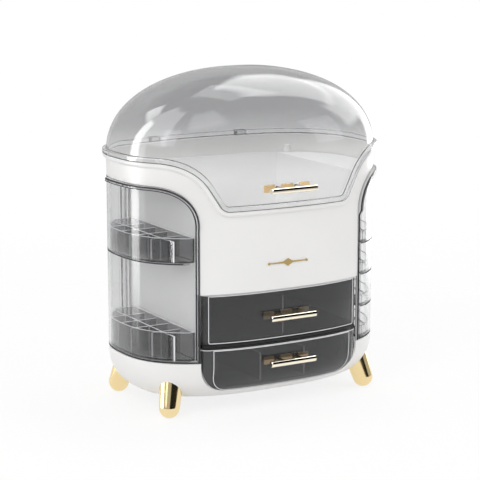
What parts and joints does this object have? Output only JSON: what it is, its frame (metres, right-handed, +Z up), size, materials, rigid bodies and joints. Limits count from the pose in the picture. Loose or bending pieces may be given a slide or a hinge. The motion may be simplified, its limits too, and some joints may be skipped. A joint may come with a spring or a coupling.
{
  "type": "makeup organizer",
  "caption": "Oval tabletop makeup organizer with a hinged clear dome, clear side doors with trays, smoke drawers, gold bar handles and splayed feet.",
  "frame": {"origin": "on the ground, under the middle of the bounding box", "axes": "+Z up, +X to the right seen from the front, -Y the front"},
  "size_m": [0.3002, 0.2158, 0.3509],
  "materials": {
    "white_plastic": "glossy moulded",
    "liner_plastic": "satin moulded",
    "clear_plastic": "clear, polished",
    "smoke_plastic": "smoke tinted, polished",
    "gold": "gold coloured, polished",
    "steel": "plain steel"
  },
  "bodies": {
    "cabinet": {"body_shell": "white_plastic", "well_liner": "liner_plastic", "drawer_shelf": "smoke_plastic", "front_ornament": "gold", "base_bowl": "white_plastic", "foot_front_left": "gold", "foot_front_right": "gold", "foot_rear_left": "gold", "foot_rear_right": "gold", "foot_screws": "steel", "base_screws": "steel", "door_pins": "steel", "lid_hinge_pins": "steel"},
    "lid": {"lid_dome": "clear_plastic", "lid_handle": "gold", "lid_handle_screws": "steel"},
    "left_door": {"left_door": "clear_plastic", "left_lower_tray": "smoke_plastic", "left_upper_tray": "smoke_plastic"},
    "right_door": {"right_door": "clear_plastic", "right_tray_1": "smoke_plastic", "right_tray_2": "smoke_plastic", "right_tray_3": "smoke_plastic", "right_tray_4": "smoke_plastic"},
    "upper_drawer": {"upper_drawer": "smoke_plastic", "upper_drawer_handle": "gold", "upper_handle_screws": "steel", "upper_drawer_divider": "smoke_plastic"},
    "lower_drawer": {"lower_drawer": "smoke_plastic", "lower_drawer_handle": "gold", "lower_handle_screws": "steel", "lower_drawer_dividers": "smoke_plastic"}
  },
  "joints": [
    {"name": "lid_hinge", "type": "hinge", "parent": "cabinet", "child": "lid", "pos_m": [0, 0.10395, 0.2584], "axis": [-1, 0, 0], "range_deg": [0, 100]},
    {"name": "left_door_hinge", "type": "hinge", "parent": "cabinet", "child": "left_door", "pos_m": [-0.103, 0.07622, 0.149], "axis": [0, 0, -1], "range_deg": [0, 100]},
    {"name": "right_door_hinge", "type": "hinge", "parent": "cabinet", "child": "right_door", "pos_m": [0.103, 0.07622, 0.149], "axis": [0, 0, 1], "range_deg": [0, 100]},
    {"name": "upper_drawer_slide", "type": "slide", "parent": "cabinet", "child": "upper_drawer", "axis": [0, -1, 0], "range_m": [0, 0.12]},
    {"name": "lower_drawer_slide", "type": "slide", "parent": "cabinet", "child": "lower_drawer", "axis": [0, -1, 0], "range_m": [0, 0.12]}
  ]
}
